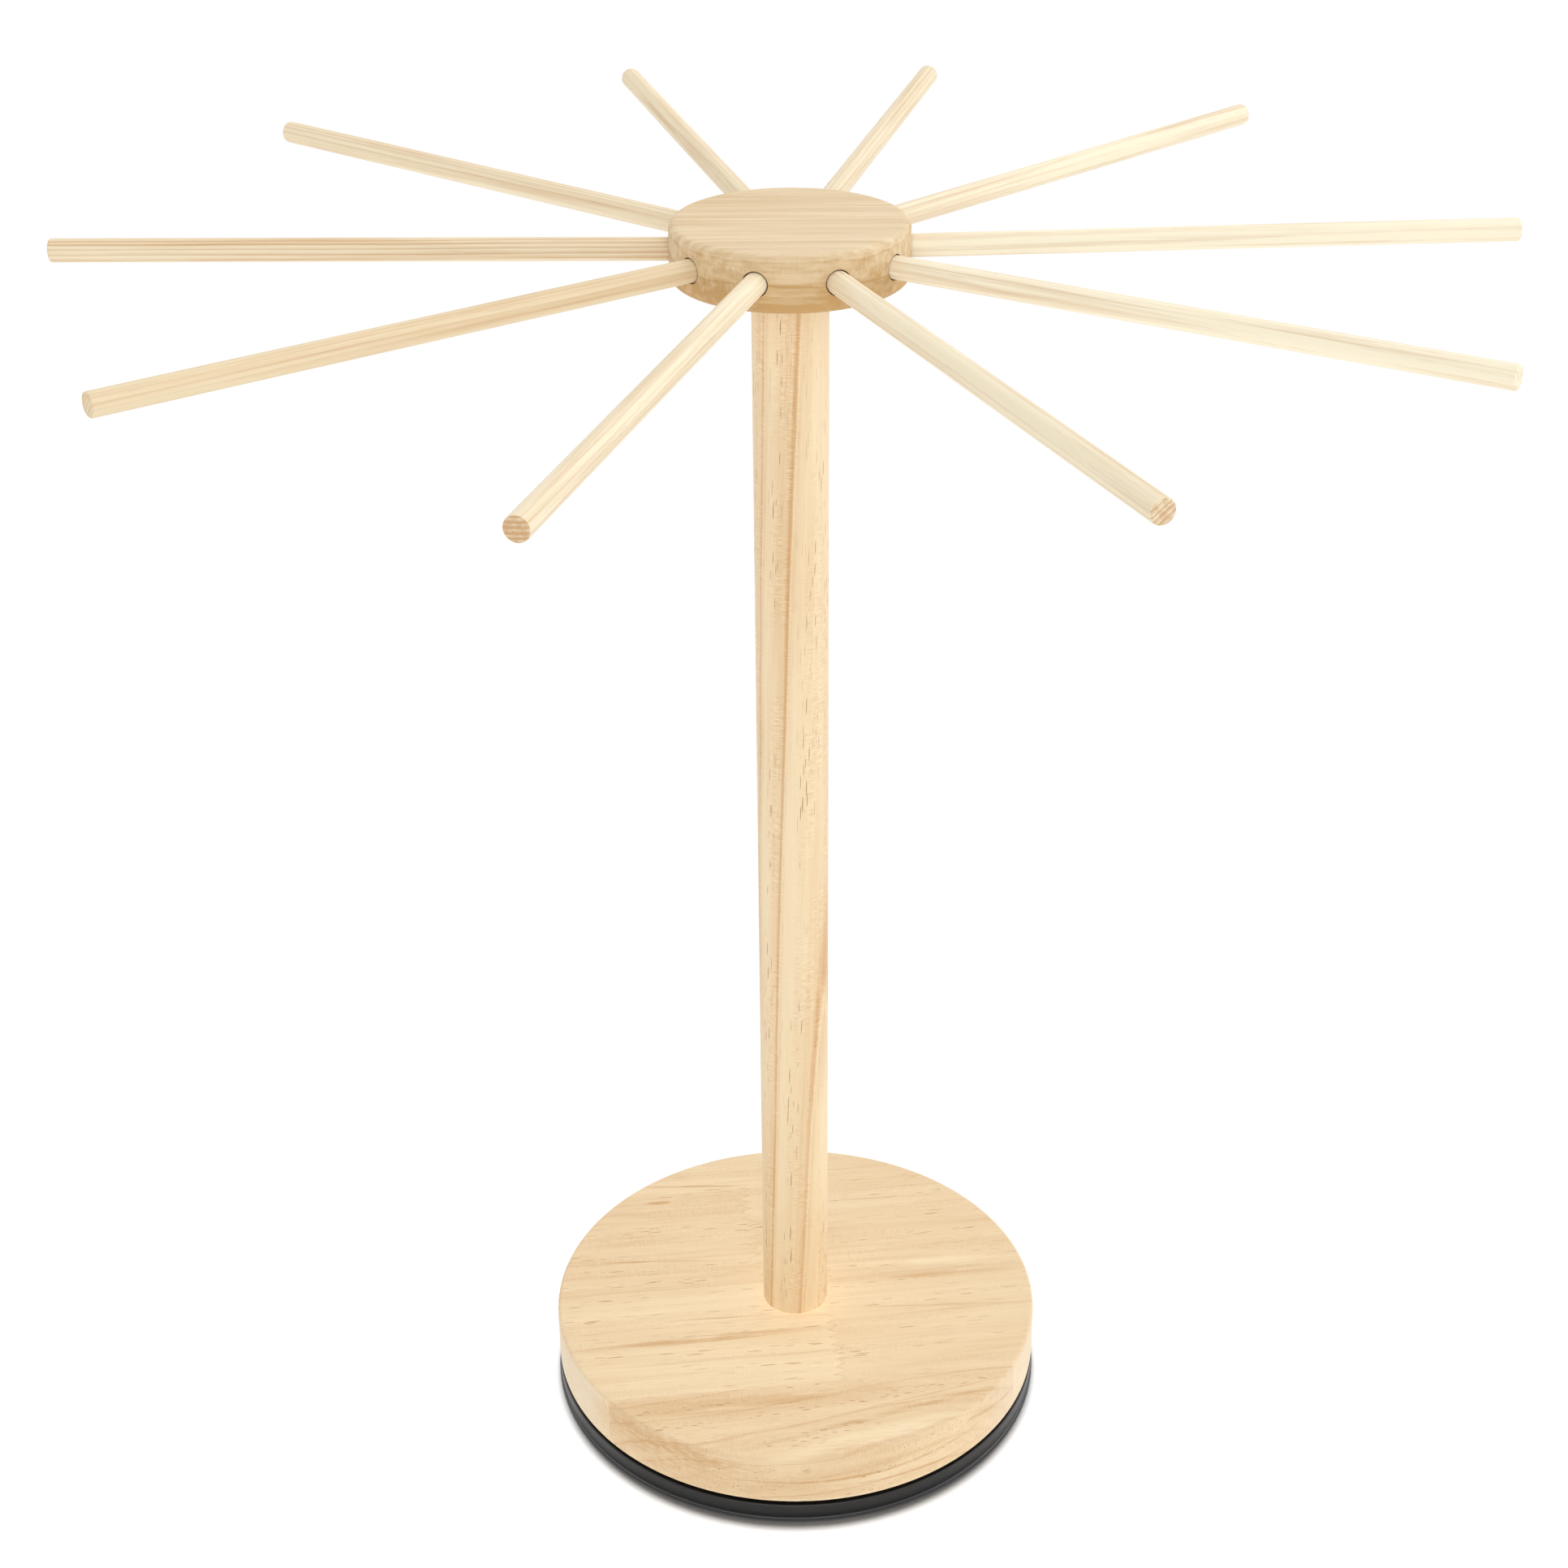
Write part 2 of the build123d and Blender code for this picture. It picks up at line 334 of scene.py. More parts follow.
# The access hole's sector of the dish's web, from the boss to the inner guide, with its net
# drawn together at the hole, and the plain rest of the web
web_steps = 14
web_shares = np.linspace(0, 1, 5) ** 1.5
sector = full_turn[:web_steps + 1] - full_turn[web_steps // 2]
sector_points = np.stack([np.cos(sector), np.sin(sector)], axis=1)
rest_of_turn = np.append(full_turn[web_steps // 2:-web_steps // 2], sector[0] + 2 * math.pi)
web_radii = np.linspace(boss_radius, guide_inner[0], 9)
web_edge = np.concatenate([
    web_radii[-1] * sector_points,
    np.outer(web_radii[-2::-1], sector_points[-1]),
    web_radii[0] * sector_points[-2::-1],
    np.outer(web_radii[1:], sector_points[0]),
])
web_flat = holed(web_edge, np.array([access_centre, 0]), access_radius, web_shares)
web_nets = [np.dstack([web_flat, np.full(web_flat.shape[:2], height)])
            for height in (floor_top, dish_low.z)]
hole_wall = np.stack([net[0] for net in web_nets])
plain_web = [turned(np.stack([web_radii, 0 * web_radii + height], axis=1), rest_of_turn)
             for height in (floor_top, dish_low.z)]
dish_nets = [turned(dish_outside), turned(dish_centre), *web_nets, hole_wall, *plain_web]
dish = shell("dish_moulding", dish_nets)


def parts_of(tree, vector):
    """The X, Y and Z outputs of a vector."""
    return feed(tree, "SeparateXYZ", {0: vector}).outputs


def beaded_black():
    """Satin black, with a painted highlight: paler along the top of the dish's bead."""
    made = moulded("beaded_black", dish_black, satin_gloss, satin_bump,
                   Specular_IOR_Level=satin_specular)
    tree = made.node_tree
    colour = tree.nodes["Principled BSDF"].inputs["Base Color"]
    place = feed(tree, "TexCoord", {}).outputs["Object"]
    # Painted highlight: the colour pales along the top of the bead
    bead_top = dish_low.z + chamfer_reach + bead_rise
    above_bead = maths(tree, "SUBTRACT", parts_of(tree, place)["Z"], bead_top)
    from_bead = maths(tree, "ABSOLUTE", above_bead)
    bead_highlight = ramp(tree, from_bead, 0.0001, 0.0004, 1.0, 0.0)
    paler = mixed(tree, bead_highlight, colour.links[0].from_socket, bead_highlight_black)
    tree.links.new(paler, colour)
    return made


dish.data.materials.append(beaded_black())
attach(dish, "stand")
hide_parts("turntable_dish")

# Turntable plate, ball cage, balls, rivet, screws and washer: the hidden works between dish and
# base. They are the frame's own nodes, and only their finishes are made here.
cage_colour = (0.72, 0.70, 0.64, 1)
cage_gloss = 0.5
cage_bump = 0.00002
steel_colour = (0.62, 0.62, 0.64, 1)
steel_gloss = 0.06
steel_bump = 0.000002
zinc_colour = (0.55, 0.56, 0.58, 1)
zinc_gloss = 0.28
zinc_bump = 0.00001
metal_grain = 0.0005
metal_cloud = 0.004


def metal(name, colour, gloss, bump_depth):
    """Plated or polished steel, with a fine cloudy variation of tone and gloss."""
    made, tree, surface = material(name, Metallic=1.0)
    place = feed(tree, "TexCoord", {}).outputs["Object"]
    fine = cloud(tree, place, metal_grain, 4.0)
    darker = tuple(0.8 * level for level in colour[:3]) + (1,)
    tone = mixed(tree, cloud(tree, place, metal_cloud), darker, colour)
    uneven = ramp(tree, fine, 0.3, 0.7, gloss, gloss + 0.12)
    finish(tree, surface, tone, uneven, fine, bump_depth)
    return made


satin_black = moulded("satin_black", dish_black, satin_gloss, satin_bump,
                      Specular_IOR_Level=satin_specular)
cage_nylon = moulded("cage_nylon", cage_colour, cage_gloss, cage_bump)
ball_steel = metal("ball_steel", steel_colour, steel_gloss, steel_bump)
zinc_plate = metal("zinc_plate", zinc_colour, zinc_gloss, zinc_bump)
inner_finishes = {
    "turntable_plate": satin_black,
    "ball_cage": cage_nylon,
    "bearing_balls": ball_steel,
    "centre_rivet": zinc_plate,
    "plate_screws": zinc_plate,
    "post_screw": zinc_plate,
    "post_washer": zinc_plate,
}
for node, made_finish in inner_finishes.items():
    frame["nodes"][node].material_slots[0].material = made_finish

# Base disc: a thick round of edge-glued pine laths, sawn, sanded and left bare, with a small
# even round-over. The laths run nearly across the front, and the two middle ones are each
# lengthened with a glued finger joint. Measures of the wood figure are in millimetres.
base_low, base_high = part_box("base_disc")
base_rounding = 0.0012
mortise_radius = 0.00805
mortise_depth = 0.0085
counterbore_radius = 0.011
counterbore_depth = 0.006
screw_bore = 0.00235
lath_turn = math.radians(7)
lath_width = 57.0
lath_seam = -49.5
finger_place = 9.0
finger_pitch = 4.0
finger_length = 4.0
next_joint = -23.5
beyond_edge = 100.0
boards_apart = 300.0
to_millimetres = (1000, 1000, 1000)
grain_depth = 0.00006
pale_pine = (0.91, 0.735, 0.48, 1)
lath_late = (0.64, 0.39, 0.18, 1)
resin_mark = (0.3, 0.1, 0.01, 1)
glue_brown = (0.42, 0.26, 0.12, 1)
sanded_end = (0.85, 0.735, 0.575, 1)

# Sizes of the noises and mark cells in the wood: twice across the fibres, then along them
drift_size = (26.0, 26.0, 150.0)
wobble_size = (5.0, 5.0, 34.0)
tone_size = (16.0, 16.0, 110.0)
streak_size = (2.0, 2.0, 80.0)
thread_size = (0.6, 0.6, 30.0)
fibre_size = (0.28, 0.28, 8.0)
pore_size = (0.2, 0.2, 50.0)
ripple_size = (2.6, 2.6, 0.5)
ripple_patch = (7.0, 7.0, 26.0)
mark_size = (0.5, 0.5, 12.0)
mark_patch = (9.0, 9.0, 60.0)

# Sizes of the noises that break up the streaks of the top, those of the rim and the glue lines
top_fray = (22.0, 2.0, 22.0)
front_patch_size = (4.0, 4.0, 1.2)
glue_wear = 5.0

# Where the rim greys into end grain along the laths, to the right and to the left: the places
# where that starts and is full, and how much there is at both
right_end = (45.0, 85.0, 0.0, 0.5)
left_end = (-72.0, -79.0, 0.0, 0.45)

# The boards, front first: where each one's pith lies across and above the disc's underside, how
# its fibres rise along it, how warm its wood is and how strongly its years show
boards = {
    -2: (-88.0, -10.0, 0.078, 0.3, 0.24),
    0: (60.0, -60.0, 0.01, 0.17, 0.09),
    1: (-75.0, -70.0, -0.01, 0.22, 0.1),
    2: (75.0, -45.0, 0.02, 0.26, 0.15),
    3: (-30.0, -75.0, 0.02, 0.26, 0.09),
    4: (90.0, -60.0, 0.0, 0.26, 0.09),
}

# Soft streaks in the boards, each by its place along and across the laths, its half length and
# half width, its slope, and how much it warms the wood
streaks = [
    (-36.0, -21.0, 52.0, 2.2, 0.03, 0.85),
    (-30.0, -22.6, 46.0, 0.5, 0.03, 0.5),
    (-29.0, -10.5, 22.0, 0.7, -0.03, 0.5),
    (54.0, 4.0, 44.0, 3.0, -0.01, 0.4),
    (48.0, 12.5, 46.0, 3.0, -0.02, -0.35),
    (48.0, -13.0, 40.0, 0.7, -0.08, 0.4),
    (-30.0, -33.0, 50.0, 1.2, 0.0, 0.35),
    (-20.0, -57.0, 62.0, 6.0, 0.0, 0.4),
    (16.0, -79.0, 44.0, 5.0, 0.22, -0.55),
    (20.0, -69.0, 54.0, 1.8, 0.22, 0.6),
    (40.0, -60.0, 40.0, 0.6, 0.2, 0.35),
    (-32.0, 68.5, 24.0, 0.9, -0.1, 0.8),
    (-46.0, 59.8, 6.0, 1.2, 0.0, 0.9),
    (-55.0, 25.0, 32.0, 0.8, -0.09, 0.7),
    (-60.0, 38.0, 24.0, 4.0, 0.0, 0.25),
    (40.0, 52.0, 30.0, 0.7, -0.05, 0.4),
]

# The same on the front of the rim, by place along the laths and height
rim_streaks = [
    (-38.0, 22.0, 22.0, 6.0, -0.12, 0.3),
    (-55.0, 24.0, 26.0, 5.0, 0.05, 0.4),
    (-54.0, 17.0, 30.0, 9.0, 0.0, 0.28),
    (-20.0, 14.0, 30.0, 3.0, 0.16, 0.25),
    (16.0, 18.2, 50.0, 0.8, 0.02, 0.7),
    (10.0, 22.0, 46.0, 3.5, 0.0, 0.2),
    (34.0, 13.5, 40.0, 0.6, -0.06, 0.5),
    (62.0, 21.0, 14.0, 1.2, -0.3, 0.6),
    # Painted highlight: a pale line along the lower edge of the rim's front
    (0.0, 9.0, 70.0, 1.4, 0.0, -0.5),
]


def off_axis(tree, place):
    """Distance of a place from the Z axis."""
    return vectors(tree, "LENGTH", vectors(tree, "MULTIPLY", place, (1, 1, 0)))


def pine_figure():
    """Group for pine, from a place in millimetres in the trunk, with Z along the fibres. Years are
    the distance from Z over Ring Width, plus Phase, wandered by noise: each warms slowly up to a
    fine late line and ends sharply. Fibres, streaks and cross ripples are noise drawn out along
    or across Z. Resin marks are cells drawn out into dashes, in rows half way through a year.
    Warmth is added to the rings, and Cut End darkens and sharpens them."""
    tree, given, gives = group(
        "pine_figure",
        {"Trunk": "Vector", "Ring Width": "Float", "Phase": "Float", "Wander": "Float",
         "Rings": "Float", "Streaks": "Float", "Ripple": "Float", "Marks": "Float",
         "Warmth": "Float", "Cut End": "Float", "Pale": "Color", "Late": "Color", "Mark": "Color"},
        {"Colour": "Color", "Roughness": "Float", "Height": "Float"},
    )
    trunk = given["Trunk"]

    drift = cloud(tree, trunk, drift_size, 1.0, output=1)
    wobble = cloud(tree, trunk, wobble_size, 2.0, output=1)
    both = feed(tree, "Mix", {"Factor": 0.16, 4: drift, 5: wobble}, data_type="VECTOR").outputs[1]
    centred = vectors(tree, "SUBTRACT", both, (0.5, 0.5, 0.5))
    shift = feed(tree, "VectorMath", {0: centred, "Scale": given["Wander"]}, operation="SCALE")
    wandered = vectors(tree, "ADD", trunk, shift.outputs[0])
    rings = maths(tree, "DIVIDE", off_axis(tree, wandered), given["Ring Width"])
    even_years = maths(tree, "ADD", rings, given["Phase"])
    uneven = feed(tree, "TexNoise", {"W": even_years, "Scale": 0.45, "Detail": 1.0},
                  noise_dimensions="1D").outputs[0]
    years = maths(tree, "MULTIPLY_ADD", uneven, 0.5, even_years)
    part_of_year = maths(tree, "FRACT", years)

    luck = feed(tree, "TexWhiteNoise", {"W": maths(tree, "FLOOR", years)},
                noise_dimensions="1D").outputs["Value"]
    growth = ramp(tree, luck, 0.0, 1.0, 0.55, 1.0)
    fall = ramp(tree, part_of_year, 0.93, 1.0, 1.0, 0.0)
    band = maths(tree, "MULTIPLY", ramp(tree, part_of_year, 0.1, 0.95), fall)
    line = maths(tree, "MULTIPLY", ramp(tree, part_of_year, 0.83, 0.92), fall)
    after = ramp(tree, part_of_year, 0.0, 0.18, 0.5, 0.0)
    lined = maths(tree, "MULTIPLY_ADD", line, 0.9, maths(tree, "MULTIPLY", band, 0.6))
    late = maths(tree, "MULTIPLY", maths(tree, "ADD", lined, after), growth)

    tone = cloud(tree, trunk, tone_size)
    streak = cloud(tree, trunk, streak_size, 3.0)
    thread = cloud(tree, trunk, thread_size)
    fibre = cloud(tree, trunk, fibre_size, 3.0)
    pores = cloud(tree, trunk, pore_size)
    ripple = maths(tree, "SUBTRACT", cloud(tree, trunk, ripple_size), 0.5)
    ripple_zone = ramp(tree, cloud(tree, trunk, ripple_patch, 1.0), 0.36, 0.54)
    in_band = ramp(tree, part_of_year, 0.2, 0.6, 0.25, 1.0)
    ripples = maths(tree, "MULTIPLY", ripple, maths(tree, "MULTIPLY", ripple_zone, in_band))

    cells = counted(tree, trunk, mark_size)
    cell = feed(tree, "TexVoronoi", {"Vector": cells, "Scale": 1.0}).outputs
    cell_luck = feed(tree, "SeparateColor", {0: cell["Color"]}).outputs[0]
    cell_reach = ramp(tree, cell_luck, 0.0, 1.0, 0.3, 1.7)
    from_centre = maths(tree, "DIVIDE", cell["Distance"], cell_reach)
    dash = ramp(tree, from_centre, 0.13, 0.2, 1.0, 0.0)
    row_start = ramp(tree, part_of_year, 0.28, 0.42, 0.25, 1.0)
    row_end = ramp(tree, part_of_year, 0.56, 0.7, 1.0, 0.25)
    mark_zone = ramp(tree, cloud(tree, trunk, mark_patch, 1.0), 0.36, 0.5)
    mark = given["Marks"]
    for mask in (dash, row_start, row_end, mark_zone):
        mark = maths(tree, "MULTIPLY", mark, mask)

    drawn = maths(tree, "SUBTRACT", ramp(tree, streak, 0.3, 0.75), 0.4)
    sawn = maths(tree, "MULTIPLY_ADD", late, 0.8, maths(tree, "MULTIPLY", pores, 0.7))
    warm = maths(tree, "MULTIPLY_ADD", late, given["Rings"], given["Warmth"])
    for level, strength in (
        (drawn, given["Streaks"]),
        (maths(tree, "SUBTRACT", tone, 0.42), 0.6),
        (maths(tree, "SUBTRACT", thread, 0.5), 0.3),
        (maths(tree, "SUBTRACT", fibre, 0.5), 0.2),
        (ripples, given["Ripple"]),
        (sawn, given["Cut End"]),
    ):
        warm = maths(tree, "MULTIPLY_ADD", level, strength, warm)
    wood = mixed(tree, warm, given["Pale"], given["Late"])
    gloss = ramp(tree, fibre, 0.3, 0.7, 0.5, 0.62)
    relief = maths(tree, "MULTIPLY_ADD", late, 0.35, fibre)
    tree.links.new(mixed(tree, mark, wood, given["Mark"]), gives["Colour"])
    tree.links.new(maths(tree, "MULTIPLY_ADD", late, -0.06, gloss), gives["Roughness"])
    tree.links.new(maths(tree, "MULTIPLY_ADD", mark, -0.3, relief), gives["Height"])
    return tree


def soft_streak(tree, place, along, across, half_length, half_width, slope):
    """Mask of a long soft ellipse at a place in the XY plane, drawn out along X and sloping."""
    offset = parts_of(tree, vectors(tree, "SUBTRACT", place, (along, across, 0)))
    level = maths(tree, "MULTIPLY_ADD", offset["X"], -slope, offset["Y"])
    reach = feed(tree, "CombineXYZ", {
        "X": maths(tree, "DIVIDE", offset["X"], half_length),
        "Y": maths(tree, "DIVIDE", level, half_width),
    }).outputs[0]
    return ramp(tree, vectors(tree, "LENGTH", reach), 0.0, 1.2, 1.0, 0.0)


def glued_laths():
    """Group that cuts a board into laths along X, some with a finger joint, and returns each
    board's own place in the trunk, its warmth and rings, and the lines of its glue joints. Place
    is in millimetres, X along the laths and Z up. Boards are numbered twice their lath's number,
    plus one past its joint. All but the two middle laths have their joints beyond the edge."""
    tree, given, gives = group(
        "glued_laths",
        {"Place": "Vector"},
        {"Trunk": "Vector", "Warmth": "Float", "Rings": "Float", "Joint": "Float"},
    )
    place = parts_of(tree, given["Place"])
    from_seam = maths(tree, "SUBTRACT", place["Y"], lath_seam)
    lath_place = maths(tree, "DIVIDE", from_seam, lath_width)
    lath = maths(tree, "FLOOR", lath_place)
    in_lath = maths(tree, "FRACT", lath_place)
    in_pitch = maths(tree, "FRACT", maths(tree, "DIVIDE", place["Y"], finger_pitch))
    tooth = maths(tree, "ABSOLUTE", maths(tree, "SUBTRACT", in_pitch, 0.5))
    outer_lath = maths(tree, "SUBTRACT", maths(tree, "MULTIPLY", lath, lath), lath)
    joint = maths(tree, "MULTIPLY_ADD", lath, next_joint, finger_place)
    joint = maths(tree, "MULTIPLY_ADD", outer_lath, beyond_edge, joint)
    joint = maths(tree, "MULTIPLY_ADD", tooth, 2 * finger_length, joint)
    past_joint = maths(tree, "SUBTRACT", place["X"], joint)
    is_past = maths(tree, "GREATER_THAN", past_joint, 0.0)
    board = maths(tree, "MULTIPLY_ADD", lath, 2.0, is_past)

    pith = (0, 0, 0)
    nature = (0, 0, 0)
    for number, (pith_across, pith_height, slope, warmth, rings) in boards.items():
        here = maths(tree, "COMPARE", board, float(number), 0.5)
        pith_place = (pith_across, pith_height, boards_apart * number)
        pith = vectors(tree, "MULTIPLY_ADD", here, pith_place, pith)
        nature = vectors(tree, "MULTIPLY_ADD", here, (slope, warmth, rings), nature)
    kind = parts_of(tree, nature)
    fall = maths(tree, "MULTIPLY", kind["X"], -1.0)
    sunk = maths(tree, "MULTIPLY_ADD", place["X"], fall, place["Z"])
    upended = feed(tree, "CombineXYZ", {"X": place["Y"], "Y": sunk, "Z": place["X"]}).outputs[0]

    in_half = maths(tree, "MINIMUM", in_lath, maths(tree, "SUBTRACT", 1.0, in_lath))
    to_seam = maths(tree, "MULTIPLY", in_half, lath_width)
    to_joint = maths(tree, "MULTIPLY", maths(tree, "ABSOLUTE", past_joint), 0.5)
    seam = ramp(tree, to_seam, 0.05, 0.4, 0.45, 0.0)
    finger_line = ramp(tree, to_joint, 0.05, 0.35, 1.0, 0.0)
    tree.links.new(vectors(tree, "SUBTRACT", upended, pith), gives["Trunk"])
    tree.links.new(kind["Y"], gives["Warmth"])
    tree.links.new(kind["Z"], gives["Rings"])
    tree.links.new(maths(tree, "MAXIMUM", seam, finger_line), gives["Joint"])
    return tree


pine_group = pine_figure()
lath_group = glued_laths()


def pine(tree, surface, trunk, **constants):
    """Feeds a shader with the pine_figure group at a place in the trunk, with constants on the
    group's sockets. Returns the group's node."""
    inputs = {socket.replace("_", " "): value for socket, value in constants.items()}
    figure = feed(tree, "Group", {"Trunk": trunk, **inputs}, node_tree=pine_group)
    wood = figure.outputs
    finish(tree, surface, wood["Colour"], wood["Roughness"], wood["Height"], grain_depth)
    return figure


def board_pine():
    """Base material: jointed pine laths turned a little from the front, with streaks on the top
    and on the front of the rim, and a painted highlight along the lower edge of the rim's front.
    Glue lines come and go, and the rim is greyer where its wood is cut across."""
    made, tree, surface = material("board_pine")
    place = feed(tree, "TexCoord", {}).outputs["Object"]
    laid = feed(tree, "Mapping", {"Vector": place, "Rotation": (0, 0, -lath_turn),
                                  "Scale": to_millimetres}).outputs[0]
    parts = parts_of(tree, laid)
    laths = feed(tree, "Group", {"Place": laid}, node_tree=lath_group).outputs
    figure = pine(tree, surface, laths["Trunk"], Ring_Width=6.5, Phase=0.0, Wander=9.0,
                  Streaks=0.14, Ripple=0.5, Marks=0.9, Pale=pale_pine, Late=lath_late,
                  Mark=resin_mark)

    fray = ramp(tree, cloud(tree, laid, top_fray, 3.0), 0.25, 0.6)
    frayed_top = maths(tree, "MULTIPLY", fray, ramp(tree, parts["Z"], 20.0, 27.0))
    # Patches on the rim's front that carry its streaks and its painted highlight
    front_patches = ramp(tree, cloud(tree, laid, front_patch_size, 3.0), 0.2, 0.6)
    below_top = ramp(tree, parts["Z"], 28.0, 27.0)
    on_front = maths(tree, "MULTIPLY", below_top, ramp(tree, parts["Y"], 0.0, -20.0))
    front_figure_and_highlight = maths(tree, "MULTIPLY", front_patches, on_front)
    front = feed(tree, "CombineXYZ", {"X": parts["X"], "Y": parts["Z"]}).outputs[0]
    warmth = laths["Warmth"]
    for side, mask, shapes in ((laid, frayed_top, streaks), (front, front_figure_and_highlight, rim_streaks)):
        for *shape, strength in shapes:
            streak = maths(tree, "MULTIPLY", soft_streak(tree, side, *shape), mask)
            warmth = maths(tree, "MULTIPLY_ADD", streak, strength, warmth)
    tree.links.new(warmth, figure.inputs["Warmth"])
    tree.links.new(laths["Rings"], figure.inputs["Rings"])

    worn_glue = ramp(tree, cloud(tree, laid, glue_wear), 0.45, 0.65, 0.04, 0.4)
    glue = maths(tree, "MULTIPLY", laths["Joint"], worn_glue)
    glued = mixed(tree, glue, figure.outputs["Colour"], glue_brown)
    rim = 1000 * base_high.x
    on_rim = ramp(tree, off_axis(tree, laid), rim - 0.5, rim - 0.1)
    ends = maths(tree, "ADD", ramp(tree, parts["X"], *right_end), ramp(tree, parts["X"], *left_end))
    greyed = mixed(tree, maths(tree, "MULTIPLY", ends, on_rim), glued, sanded_end)
    tree.links.new(greyed, surface.inputs["Base Color"])
    return made


base_outline = rounded([
    (base_high.x, base_low.z, base_rounding),
    (base_high.x, base_high.z, base_rounding),
    (base_high.x * 0.5, base_high.z, 0),
    (mortise_radius, base_high.z, 0),
    (mortise_radius, base_high.z - mortise_depth, 0),
    (screw_bore, base_high.z - mortise_depth, 0),
    (screw_bore, base_low.z + counterbore_depth, 0),
    (counterbore_radius, base_low.z + counterbore_depth, 0),
    (counterbore_radius, base_low.z, 0),
])
base = shell("base_board", [turned(base_outline)])
base.data.materials.append(board_pine())
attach(base, "rack")
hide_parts("base_disc")

# Post: a thick pine dowel with a turned tenon at each end, glued into the base and the hub and
# drawn down by the screw from below. Its fibres run upwards.
post_low, post_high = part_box("post")
tenon_radius = 0.008
tenon_rounding = 0.0008
hub_low, hub_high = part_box("hub")
pilot_top = 0.0588
post_pith = (74.4, -30.0, 300.0)
post_lean = -0.036
post_late = (0.66, 0.37, 0.15, 1)


def post_pine():
    """Post material: wide years whose pith lies behind on the left, so that their late lines run
    down the front, leaning to the left as they go down."""
    made, tree, surface = material("post_pine")
    place = feed(tree, "TexCoord", {}).outputs["Object"]
    trunk = feed(tree, "Mapping", {"Vector": place, "Location": post_pith,
                                   "Rotation": (0, post_lean, 0), "Scale": to_millimetres})
    pine(tree, surface, trunk.outputs[0], Ring_Width=10.2, Phase=-0.665, Wander=3.0, Rings=0.52,
         Streaks=0.16, Ripple=1.2, Marks=0.9, Warmth=-0.02, Pale=pale_pine, Late=post_late,
         Mark=resin_mark)
    return made


post_outline = rounded([
    (0, post_high.z, 0),
    (tenon_radius, post_high.z, tenon_rounding),
    (tenon_radius, hub_low.z, 0),
    (post_high.x, hub_low.z, 0),
    (post_high.x, base_high.z, 0),
    (tenon_radius, base_high.z, 0),
    (tenon_radius, post_low.z, tenon_rounding),
    (screw_bore, post_low.z, 0),
    (screw_bore, pilot_top, 0),
    (0, pilot_top, 0),
], closed=False)
post = shell("post_dowel", [turned(post_outline)])
post.data.materials.append(post_pine())
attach(post, "rack")
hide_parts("post")

# Hub: a turned pine disc with soft edges. Ten sockets are drilled into its rim for the rods, each
# with a slightly wider mouth, and a blind mortise underneath takes the post's tenon.
hub_radius = hub_high.x
hub_rounding = 0.0022
socket_radius = 0.00358
mouth_radius = 0.0039
mouth_depth = 0.001
socket_depth = 0.018
mortise_top = hub_low.z + 0.0115
rod_level = (hub_low.z + hub_high.z) / 2
pull_joints = [joint for joint in frame["joints"] if joint["name"].endswith("_pull")]
pull_axes = [np.array(joint["axis"]) for joint in pull_joints]
bearings = np.array([math.atan2(axis[1], axis[0]) for axis in pull_axes])
socket_shares = np.linspace(0, 1, 8) ** 1.4
hub_pith = (364.0, 45.0, 0.0)
hub_turn = (0, math.radians(90), math.radians(3))
hub_pale = (0.85, 0.69, 0.46, 1)
hub_late = (0.56, 0.34, 0.135, 1)
hub_mark = (0.34, 0.19, 0.1, 1)
# Dark brown painted inside the sockets as their shade
socket_shade_brown = (0.19, 0.075, 0.015, 1)


def hub_pine():
    """Hub material: fibres from left to right, with the pith below the front, so that the years
    lie flat on the front of the rim and draw together at the back. It is painted warmer and
    darker towards its underside as shade, and dark brown inside the sockets as their shade."""
    made, tree, surface = material("hub_pine", Specular_IOR_Level=0.25)
    place = feed(tree, "TexCoord", {}).outputs["Object"]
    height = parts_of(tree, place)["Z"]
    laid = feed(tree, "Mapping", {"Vector": place, "Rotation": hub_turn, "Location": hub_pith,
                                  "Scale": to_millimetres}).outputs[0]
    figure = pine(tree, surface, laid, Ring_Width=8.0, Phase=0.0, Wander=9.0, Rings=0.32,
                  Streaks=0.45, Ripple=0.6, Marks=0.4, Pale=hub_pale, Late=hub_late,
                  Mark=hub_mark)
    # Painted shade: warmer and darker towards the hub's underside
    low = ramp(tree, height, hub_low.z, hub_high.z, 0.9, 0.14)
    tree.links.new(low, figure.inputs["Warmth"])
    # Painted shade: the insides of the sockets are dark brown
    from_rods = maths(tree, "ABSOLUTE", maths(tree, "SUBTRACT", height, rod_level))
    at_rods = maths(tree, "LESS_THAN", from_rods, mouth_radius + 0.0002)
    inside = ramp(tree, off_axis(tree, place), hub_radius - 0.0003, hub_radius, 0.95, 0.0)
    drilled = maths(tree, "MULTIPLY", at_rods, inside)
    browned = mixed(tree, drilled, figure.outputs["Colour"], socket_shade_brown)
    tree.links.new(browned, surface.inputs["Base Color"])
    return made


